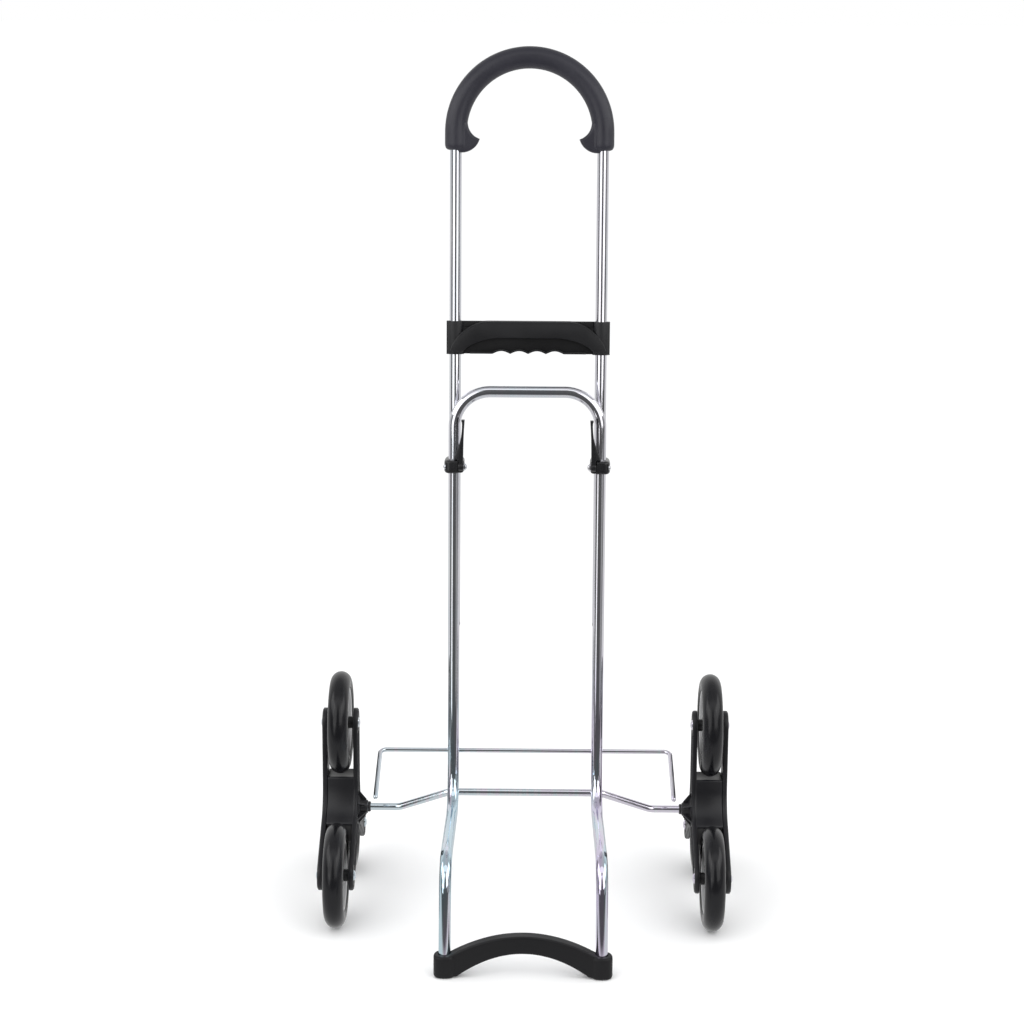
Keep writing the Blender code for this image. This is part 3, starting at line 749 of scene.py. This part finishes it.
def make_brace():
    """Each shell is a raised arch with tube sleeves; its recessed web is a second piece in a darker
    moulding that paints the shade of the recess and of the corners.
    """
    for label, facing in (("front", 1), ("back", -1)):
        upright = frame_matrix(0, HANDLE_BEHIND, BRACE_CENTRE)
        place = upright @ FACE_ON
        raised, web = bmesh.new(), bmesh.new()
        near, far = sorted((facing * 0.0002, facing * 0.0040))
        slab(web, plate_outline(), near, far, place, 0.0004)
        near, far = sorted((facing * 0.0004, facing * 0.0096))
        slab(raised, band_outline(), near, far, place, 0.0011)
        for side in SIDES.values():
            wall = [(side * x, y) for x, y in (
                (0.0776, -BRACE_HALF_HEIGHT), (BRACE_HALF_WIDTH, -BRACE_HALF_HEIGHT),
                (BRACE_HALF_WIDTH, BRACE_HALF_HEIGHT), (0.0776, BRACE_HALF_HEIGHT),
            )]
            near, far = sorted((facing * 0.0002, facing * 0.0036))
            slab(raised, wall, near, far, place, 0.0006)
            sleeve = half_sleeve(side, facing)
            slab(raised, sleeve, -BRACE_HALF_HEIGHT, BRACE_HALF_HEIGHT, upright, 0.0006)
            corner = [(side * x, y) for x, y in (
                (0.0500, 0.0135), (0.0780, 0.0135),
                (0.0780, BRACE_HALF_HEIGHT - 0.0002), (0.0500, BRACE_HALF_HEIGHT - 0.0002),
            )]
            near, far = sorted((facing * 0.0010, facing * 0.0052))
            slab(web, corner, near, far, place, 0.0005)
        add_lip(raised, facing, place)
        edge = [place @ Vector((x, y - 0.0012, facing * 0.0094)) for x, y in band_outline()[4:61]]
        sweep(raised, edge, lambda share: circle(0.0006, 10), Vector((0, 1, 0)))
        node = f"brace_{label}"
        add(f"brace_shell_{label}", to_mesh(raised, node), BLACK, "handle", "black_plastic", node, angle=32)
        add(f"brace_web_{label}", to_mesh(web, node), SHADED_RECESS, "handle", "black_plastic", angle=32)


def half_sleeve(side, facing):
    """The outside of one tube sleeve seen from above, as half of a rounded tunnel."""
    points = []
    steps = 18
    for step in range(steps + 1):
        angle = pi * step / steps
        points.append((side * HALF + 0.0103 * cos(angle), -facing * (0.0002 + 0.0090 * sin(angle))))
    return points


def add_lip(shape, facing, place):
    """The lighter strip along the lower edge that follows the finger scallops."""
    low = [(-0.0700, 0.0)] + finger_hollows() + [(0.0700, 0.0)]
    outline = [(x, BRACE_EDGE + y) for x, y in low]
    outline += [(x, BRACE_EDGE + y + 0.0022) for x, y in reversed(low)]
    near, far = sorted((facing * 0.0040, facing * 0.0072))
    slab(shape, outline, near, far, place, 0.0004)


# ---------------------------------------------------------------- clamps and levers

def barrel_outline(half_width, half_depth, power):
    """A rounded rectangle with swelling sides."""
    points = []
    count = 64
    for i in range(count):
        angle = 2 * pi * i / count
        c, s = cos(angle), sin(angle)
        points.append((
            half_width * (abs(c) ** power) * (1 if c > 0 else -1),
            half_depth * (abs(s) ** power) * (1 if s > 0 else -1),
        ))
    return points


def inward(side):
    """Turns local +Z to point from a clamp towards the middle of the frame."""
    return Matrix.Scale(-side, 4, (1, 0, 0)) @ Matrix.Rotation(pi / 2, 4, "Y")


def make_clamps():
    for name, side in SIDES.items():
        shape = bmesh.new()
        centre = CLAMP_FRONT + 0.025
        place = frame_matrix(side * HALF, centre, CLAMP_CENTRE)
        slab(shape, barrel_outline(0.0120, 0.0250, 0.42), -0.0080, 0.0080, place, 0.0034, steps=5)
        tubes = [frame_matrix(side * HALF, behind, CLAMP_CENTRE) for behind in (0, HANDLE_BEHIND)]
        barrel = [(0.0, -0.0078), (0.0098, -0.0078), (0.0102, 0), (0.0098, 0.0078), (0.0, 0.0078)]
        for tube in tubes:
            spin(shape, fillet_profile(barrel, 0.0008), 40, tube, closed=False)
        mesh = remeshed(to_mesh(shape, "clamp"), voxel=0.0005, passes=4)
        radius = TUBE_RADIUS + 0.0005
        bore = [(0, -0.02), (radius, -0.02), (radius, 0.02), (0, 0.02)]
        cutters = [turned("tool", bore, 40, tube, closed=False) for tube in tubes]
        groove = frame_matrix(side * HALF, CLAMP_FRONT, CLAMP_CENTRE)
        notch = tubes[0] @ Matrix.Translation((side * -0.0095, -0.0156, 0))
        for size, spot in (((0.0006, 0.0016, 0.04), groove), ((0.0100, 0.0164, 0.04), notch)):
            tool = bmesh.new()
            block(tool, Vector(size), spot, 0.0001)
            cutters.append(to_mesh(tool, "tool"))
        bolt_place = frame_matrix(side * HALF, -BOLT_FORWARD, CLAMP_CENTRE) @ inward(side)
        hole = [(0, -0.0154), (0.0035, -0.0154), (0.0035, -0.0096), (0, -0.0096)]
        cutters.append(turned("tool", hole, 28, bolt_place, closed=False))
        mesh = bored(mesh, cutters)
        add(f"slider_clamp_{name}", mesh, GLOSS, "frame", "black_plastic", f"clamp_body_{name}", angle=40)
        make_clamp_hardware(name, bolt_place)
        make_lever(name, side)


def make_clamp_hardware(name, place):
    shape = bmesh.new()
    head = [(0, -0.0124), (0.0018, -0.0122), (0.0028, -0.0116), (0.0031, -0.0108)]
    head += [(0.0031, -0.0097), (0, -0.0097)]
    spin(shape, fillet_profile(head, 0.0006), 32, place, closed=False)
    slab(shape, circle(0.0014, 6), -0.0127, -0.0118, place, 0.0002)
    mesh = to_mesh(shape, "bolt")
    add(f"clamp_bolt_head_{name}", mesh, ZINC, "frame", "zinc", f"clamp_bolt_{name}", angle=35)
    shape = bmesh.new()
    slab(shape, circle(0.0046, 6), 0.0113, 0.0136, place, 0.0003)
    dome = [(0.0036, 0.0134), (0.0034, 0.0144), (0.0026, 0.0152), (0.0012, 0.0157), (0, 0.0158)]
    spin(shape, fillet_profile([(0, 0.0130)] + dome, 0.0004), 28, place, closed=False)
    mesh = to_mesh(shape, "nut")
    add(f"clamp_dome_nut_{name}", mesh, BRIGHT, "frame", "zinc", f"clamp_nut_{name}", angle=35)


def make_lever(name, side):
    """Blade beside the tube, a wide root in front of it and a hub round the bolt."""
    shape = bmesh.new()
    bolt_place = frame_matrix(side * HALF, -BOLT_FORWARD, CLAMP_CENTRE)
    inner = [(0.0110, 0.0040), (0.0112, 0.0200), (0.0114, 0.0320), (0.0119, 0.0440), (0.0127, 0.0560)]
    tip = [(0.0125, 0.0568), (0.0090, 0.0568), (0.0087, 0.0562), (0.0088, 0.0546), (0.0094, 0.0536)]
    outer = [(0.0096, 0.0500), (0.0092, 0.0430), (0.0084, 0.0360), (0.0070, 0.0300), (0.0052, 0.0240)]
    root = [(0.0032, 0.0190), (0.0016, 0.0145), (0.0004, 0.0112), (0.0006, 0.0092)]
    root += [(0.0052, 0.0088), (0.0060, 0.0040)]
    outline = [(-side * x, y) for x, y in inner + tip + outer + root]
    slab(shape, outline, -0.0048, 0.0048, bolt_place @ FACE_ON, 0.0007)
    eye = fillet_profile([(0, 0.0051), (0.0052, 0.0051), (0.0052, 0.0110), (0, 0.0110)], 0.0006)
    spin(shape, eye, 36, bolt_place @ inward(side), closed=False)
    mesh = to_mesh(shape, "lever")
    add(
        f"clamp_blade_{name}", mesh, GLOSS, f"lever_{name}",
        "black_plastic", f"clamp_lever_{name}", angle=35)


# ---------------------------------------------------------------- front foot

def make_foot():
    leg = LEG_FOOT + Vector((FOOT_HALF, 0, 0)) - toe(TOE_HALF)
    foot_y = LEG_FOOT.y - leg.y / leg.z * (LEG_FOOT.z - BOOT_MIDDLE)
    shape = bmesh.new()
    steps = 40
    lower, upper = [], []
    for step in range(steps + 1):
        share = -1 + 2 * step / steps
        lower.append((share * ARCH_HALF, ARCH_UNDERSIDE - 0.0285 * share ** 2))
        upper.append((share * FOOT_HALF, ARCH_TOP - 0.0275 * share ** 2))
    outline = lower + [(FOOT_HALF, 0.0014)] + upper[::-1] + [(-FOOT_HALF, 0.0014)]
    place = Matrix.Translation((0, foot_y, 0)) @ FACE_ON
    slab(shape, outline, -0.0070, 0.0094, place, 0.0020, steps=4)
    for side in SIDES.values():
        centre = Matrix.Translation((side * FOOT_HALF, foot_y, 0.0))
        slab(shape, barrel_outline(0.0126, 0.0130, 0.74), 0.0, BOOT_HEIGHT, centre, 0.0030, steps=5)
    mesh = remeshed(to_mesh(shape, "foot"), voxel=0.0007, passes=7)
    cutters = []
    tilt = leg.normalized()
    for side in SIDES.values():
        direction = Vector((side * tilt.x, tilt.y, tilt.z))
        bottom = Vector((side * FOOT_HALF, LEG_FOOT.y, LEG_FOOT.z))
        turn = (-direction).to_track_quat("Z", "Y").to_matrix().to_4x4()
        radius = TUBE_RADIUS + 0.0007
        bore = [(0, 0), (radius, 0), (radius, 0.04), (0, 0.04)]
        cutters.append(turned("tool", bore, 36, Matrix.Translation(bottom) @ turn, closed=False))
    mesh = bored(mesh, cutters)
    low = min(vert.co.z for vert in mesh.vertices)
    for vert in mesh.vertices:
        vert.co.z -= low
    add("arched_foot", mesh, BOOT, "frame", "black_plastic", "front_foot", angle=50)


# ---------------------------------------------------------------- wheel stars

def arc_points(centre, radius, start, end, steps):
    points = []
    for step in range(steps + 1):
        angle = start + (end - start) * step / steps
        points.append((centre[0] + radius * cos(angle), centre[1] + radius * sin(angle)))
    return points


def eased(points, limit, reach):
    """The closed outline with its sharp corners cut back and rounded."""
    places = [outline_corner(points, i) for i in range(len(points))]
    sharp = [here for here, before, after in places if before.angle(after) <= pi - limit]
    result = []
    for point, (here, before, after) in zip(points, places):
        if before.angle(after) > pi - limit:
            if all((here - other).length > reach for other in sharp):
                result.append(point)
            continue
        start = here + before.normalized() * reach
        end = here + after.normalized() * reach
        for step in range(7):
            share = step / 6
            point = start.lerp(here, share).lerp(here.lerp(end, share), share)
            result.append((point.x, point.y))
    return result


def outline_corner(points, i):
    """A point of a closed outline, and the ways from it to the points before and after."""
    here = Vector(points[i])
    return here, Vector(points[i - 1]) - here, Vector(points[(i + 1) % len(points)]) - here


def star_outline(arm_end):
    points = []
    for angle in ARM_ANGLES.values():
        points += arm_end(angle)
        between = angle + pi / 3
        away = (ARM_RADIUS + ARM_FILLET) / cos(pi / 6)
        centre = (away * cos(between), away * sin(between))
        points += arc_points(centre, ARM_FILLET, angle - pi / 2, angle - pi / 2 - pi / 3, 18)[1:-1]
    return points


def round_end(angle):
    return arc_points(wheel_centre(angle), ARM_RADIUS, angle - pi / 2, angle + pi / 2, 24)


def cradle_end(angle):
    clearance = WHEEL_RADIUS + 0.0042
    spread = ARM_RADIUS / clearance
    start, end = angle + pi + spread, angle + pi - spread
    return arc_points(wheel_centre(angle), clearance, start, end, 14)


def star_place(side, out):
    """Local XY in the star's plane and local +Z outwards."""
    turn = Matrix(((0, 0, side, 0), (1, 0, 0, 0), (0, 1, 0, 0), (0, 0, 0, 1)))
    return Matrix.Translation((side * out, HUB.y, HUB.z)) @ turn


def wheel_centre(angle):
    return (STAR_RADIUS * cos(angle), STAR_RADIUS * sin(angle))


def make_star(name, side):
    plain = star_outline(round_end)
    for half, facing, face in (("inner", -1, STAR_INNER), ("outer", 1, STAR_OUTER)):
        shape = bmesh.new()
        place = star_place(side, face)
        low, high = sorted((0.0, -facing * PLATE))
        slab(shape, plain, low, high, place, 0.0011)
        if half == "inner":
            far = STAR_OUTER - STAR_INNER - PLATE - GAP
            block_outline = eased(star_outline(cradle_end), radians(35), 0.0036)
            slab(shape, block_outline, PLATE - 0.001, far, place, 0.0012)
        lift = facing * 0.0007
        border(shape, plain, 0.0016, 0.0036, 0, lift, place)
        for angle in ARM_ANGLES.values():
            x, y = wheel_centre(angle)
            spot = place @ Matrix.Translation((x, y, 0))
            ring = [(0.0078, -lift), (0.0080, lift), (0.0100, lift), (0.0108, -lift)]
            spin(shape, ring, 40, spot, closed=False)
            for way in (-1, 1):
                length = STAR_RADIUS - 0.036
                shift = Matrix.Translation((0.024 + length / 2, way * 0.0052, 0))
                middle = Matrix.Rotation(angle, 4, "Z") @ shift
                block(shape, Vector((length, 0.0016, 0.0018)), place @ middle, 0.0004)
        if half == "inner":
            add_boss(shape, place)
        else:
            ring = [(0.0116, -lift), (0.0120, 0.0012), (0.0150, 0.0012), (0.0168, -lift)]
            spin(shape, ring, 48, place, closed=False)
        mesh = to_mesh(shape, f"star_{half}")
        add(
            f"star_shell_{half}_{name}", mesh, CHARCOAL, f"star_{name}",
            "black_plastic", f"star_{half}_{name}", angle=32)


def add_boss(shape, place):
    """The tapered hub boss round the rod, with webs that run out onto the shell."""
    profile = [(0, 0.001), (0.0165, 0.001), (0.0162, -0.0012), (0.0098, -0.0036), (0.0088, -0.0090)]
    profile += [(0.0080, -BOSS_LENGTH), (0, -BOSS_LENGTH)]
    spin(shape, fillet_profile(profile, 0.0012), 44, place, closed=False)
    webs = 6
    for web in range(webs):
        turn = Matrix.Rotation(2 * pi * web / webs + pi / 6, 4, "Z")
        outline = [(0.004, 0.0005), (0.0230, 0.0005), (0.0205, -0.0012), (0.0100, -0.0098)]
        outline += [(0.004, -0.0100)]
        stand = Matrix.Rotation(pi / 2, 4, "X")
        slab(shape, outline, -0.0009, 0.0009, place @ turn @ stand, 0.0002)


def make_hub_fittings(name, side):
    inner_end = STAR_INNER - BOSS_LENGTH
    place = star_place(side, 0)
    low, high = inner_end - 0.0002, STAR_OUTER - 0.0036
    bush = [(0.0050, low), (0.0062, low), (0.0062, high), (0.0050, high)]
    mesh = turned("bush", bush, 32, place)
    add(f"hub_sleeve_{name}", mesh, ZINC, f"star_{name}", "zinc", f"hub_bush_{name}", angle=35)
    start = inner_end - GAP
    collar = [(0.0047, start), (0.0062, start), (0.0066, start - 0.0012)]
    collar += [(0.0060, start - 0.0030), (0.0047, start - 0.0030)]
    mesh = turned("collar", collar, 36, place)
    add(f"rod_collar_{name}", mesh, BLACK, "frame", "black_plastic", f"axle_collar_{name}", angle=35)
    cap = [(0, STAR_OUTER + 0.0010), (0.0048, STAR_OUTER + 0.0008), (0.0082, STAR_OUTER - 0.0002)]
    cap += [(0.0094, STAR_OUTER - 0.0016), (0.0094, STAR_OUTER - 0.0030), (0, STAR_OUTER - 0.0030)]
    mesh = turned("cap", fillet_profile(cap, 0.0010), 40, place, closed=False)
    add(f"hub_cap_{name}", mesh, BLACK, "frame", "black_plastic", f"axle_cap_{name}", angle=35)


def tyre_profile():
    half, shoulder = WHEEL_WIDTH / 2, 0.0500
    points = [(0.0432, 0.0098), (0.0442, 0.0112), (0.0462, 0.0118), (0.0470, 0.0112), (0.0478, 0.0118)]
    steps = 22
    for step in range(steps + 1):
        angle = radians(86) - radians(172) * step / steps
        points.append((shoulder + (WHEEL_RADIUS - shoulder) * cos(angle), half * sin(angle)))
    points += [(0.0478, -0.0118), (0.0470, -0.0112), (0.0462, -0.0118), (0.0442, -0.0112)]
    return points + [(0.0432, -0.0098)]


def make_wheel(name, side, arm, angle):
    label = f"{name}_{arm}"
    body = f"wheel_{label}"
    x, y = wheel_centre(angle)
    place = star_place(side, STAR_MIDDLE) @ Matrix.Translation((x, y, 0))
    mesh = turned("tyre", tyre_profile(), 96, place)
    add(f"smooth_tyre_{label}", mesh, TYRE, body, "tyre", f"tyre_{label}", angle=50)
    shape = bmesh.new()
    rim = [(0.0430, 0.0100), (0.0430, -0.0100), (0.0412, -0.0106), (0.0392, -0.0098), (0.0380, -0.0060)]
    rim += [(0.0370, -0.0030), (0.0120, -0.0030), (0.0108, -0.0060), (0.0104, -0.0092), (0.0066, -0.0092)]
    rim += [(0.0066, 0.0092), (0.0104, 0.0092), (0.0108, 0.0060), (0.0120, 0.0030), (0.0370, 0.0030)]
    rim += [(0.0380, 0.0060), (0.0392, 0.0098), (0.0412, 0.0106)]
    spin(shape, rim, 72, place)
    ribs = 10
    for rib in range(ribs):
        turn = place @ Matrix.Rotation(2 * pi * rib / ribs, 4, "Z")
        outline = [(0.0100, -0.0088), (0.0386, -0.0072), (0.0386, 0.0072), (0.0100, 0.0088)]
        slab(shape, outline, -0.0008, 0.0008, turn @ Matrix.Rotation(pi / 2, 4, "X"), 0.0002)
    add(f"ribbed_rim_{label}", to_mesh(shape, "rim"), RIM, body, "rim_grey", f"rim_{label}", angle=30)
    half = (STAR_OUTER - STAR_INNER) / 2 - PLATE - 0.0006
    bush = [(0.0036, -half), (0.0070, -half), (0.0074, -0.0140), (0.0074, -0.0096), (0.0062, -0.0096)]
    bush += [(0.0062, 0.0096), (0.0074, 0.0096), (0.0074, 0.0140), (0.0070, half), (0.0036, half)]
    mesh = turned("bush", bush, 32, place)
    add(f"wheel_sleeve_{label}", mesh, BLACK, body, "black_plastic", f"wheel_bush_{label}", angle=35)
    head = (STAR_OUTER - STAR_INNER) / 2 + GAP
    top = [(0, head + 0.0028), (0.0030, head + 0.0025), (0.0054, head + 0.0014)]
    top += [(0.0065, head + 0.0002), (0.0065, head - 0.0002), (0.0030, head - 0.0002)]
    pin = top + [(radius, -height) for radius, height in reversed(top)]
    mesh = turned("pin", fillet_profile(pin, 0.0006), 32, place, closed=False)
    add(f"domed_pin_{label}", mesh, BRIGHT, f"star_{name}", "zinc", f"wheel_pin_{label}", angle=40)


# ---------------------------------------------------------------- studio

def make_camera():
    level = cos(CAMERA_PITCH)
    ahead = Vector((-sin(CAMERA_YAW) * level, cos(CAMERA_YAW) * level, -sin(CAMERA_PITCH)))
    right = Vector((cos(CAMERA_YAW), sin(CAMERA_YAW), 0))
    up = right.cross(ahead)
    turned_right = right * cos(CAMERA_ROLL) + up * sin(CAMERA_ROLL)
    turned_up = up * cos(CAMERA_ROLL) - right * sin(CAMERA_ROLL)
    data = bpy.data.cameras.new("camera")
    data.lens = CAMERA_LENS
    data.sensor_width = 36
    camera = placed("camera", data)
    turn = Matrix((turned_right, turned_up, -ahead)).transposed().to_4x4()
    camera.matrix_world = Matrix.Translation(CAMERA_PLACE) @ turn
    bpy.context.scene.camera = camera


def make_softbox(name, place, target, size, level, diffuse):
    """A rectangular light; level is how bright its face looks in a reflection."""
    data = bpy.data.lights.new(name, "AREA")
    data.shape = "RECTANGLE"
    data.size, data.size_y = size
    data.energy = level * pi * size[0] * size[1]
    light = placed(name, data)
    light.visible_diffuse = diffuse
    aim = (Vector(target) - Vector(place)).to_track_quat("-Z", "Y").to_matrix().to_4x4()
    light.matrix_world = Matrix.Translation(place) @ aim


def make_world():
    """A white room as daylight; plating and gloss see its dark camera end and dark ceiling."""
    world = bpy.data.worlds.new("studio")
    bpy.context.scene.world = world
    world.use_nodes = True
    tree = world.node_tree
    background = tree.nodes["Background"]
    x, y, z = axes(tree, "Generated")
    flat_length = math_node(tree, "SQRT", math_node(
        tree, "ADD", math_node(tree, "MULTIPLY", x, x), math_node(tree, "MULTIPLY", y, y)), 0)
    bearing = math_node(tree, "DIVIDE", y, math_node(tree, "MAXIMUM", flat_length, 0.001))
    round_room = level_ramp(tree, bearing, -1.0, 1.0, ROOM_BY_BEARING)
    overhead = level_ramp(tree, z, -1.0, 1.0, ROOM_BY_HEIGHT)
    room = mixed(tree, overhead.outputs["Color"], round_room.outputs["Color"], CEILING)
    path = tree.nodes.new("ShaderNodeLightPath")
    lit = mixed(tree, path.outputs["Is Glossy Ray"], DAYLIGHT, room)
    seen = mixed(tree, path.outputs["Is Camera Ray"], lit, BACKDROP)
    tree.links.new(seen, background.inputs["Color"])
    background.inputs["Strength"].default_value = 1.0


def make_floor():
    """A pale floor; what the plating sees of it is a painted glow instead, darker, most of all towards the
    camera.
    """
    shape = bmesh.new()
    bmesh.ops.create_grid(shape, x_segments=1, y_segments=1, size=60)
    floor = placed("studio_floor", to_mesh(shape, "floor"))
    floor.location.z = -0.0004
    material, tree, shader = nodes_of("pale_floor")
    _, y, _ = axes(tree, "Object")
    forward = math_node(tree, "MULTIPLY", y, -1.0)
    # Reflections see this painted glow in place of the lit floor, darker towards the camera.
    reflection_glow = level_ramp(tree, forward, FLOOR_TONES_FROM, FLOOR_TONES_TO, FLOOR_GLOW_IN_REFLECTIONS)
    path = tree.nodes.new("ShaderNodeLightPath")
    glow = tree.nodes.new("ShaderNodeEmission")
    tree.links.new(reflection_glow.outputs["Color"], glow.inputs["Color"])
    swap = tree.nodes.new("ShaderNodeMixShader")
    tree.links.new(path.outputs["Is Glossy Ray"], swap.inputs["Fac"])
    tree.links.new(shader.outputs["BSDF"], swap.inputs[1])
    tree.links.new(glow.outputs["Emission"], swap.inputs[2])
    tree.links.new(swap.outputs["Shader"], tree.nodes["Material Output"].inputs["Surface"])
    shader.inputs["Base Color"].default_value = (FLOOR_TONE, FLOOR_TONE, FLOOR_TONE, 1)
    shader.inputs["Roughness"].default_value = 0.8
    shader.inputs["Specular IOR Level"].default_value = 0.0
    floor.data.materials.append(material)


def dress_kept_nodes():
    """CAD nodes that stay as they are get the detailed materials."""
    by_slot = {
        "chrome": CHROME, "zinc": ZINC, "black_plastic": BLACK, "grip_rubber": SOFT,
        "tyre": TYRE, "rim_grey": RIM,
    }
    for part in frame["record"]["subparts"]:
        node = frame["nodes"][part["node"]]
        for slot in node.material_slots:
            slot.material = by_slot[part["material_slot"]]


def main():
    bpy.context.scene.view_settings.view_transform = "Standard"
    dress_kept_nodes()
    make_tubes()
    make_rod_and_guard()
    make_welds()
    make_grip()
    make_brace()
    make_clamps()
    make_foot()
    for name, side in SIDES.items():
        make_star(name, side)
        make_hub_fittings(name, side)
        for arm, angle in ARM_ANGLES.items():
            make_wheel(name, side, arm, angle)
    make_camera()
    make_world()
    for softbox in SOFTBOXES:
        make_softbox(*softbox)
    make_floor()


main()
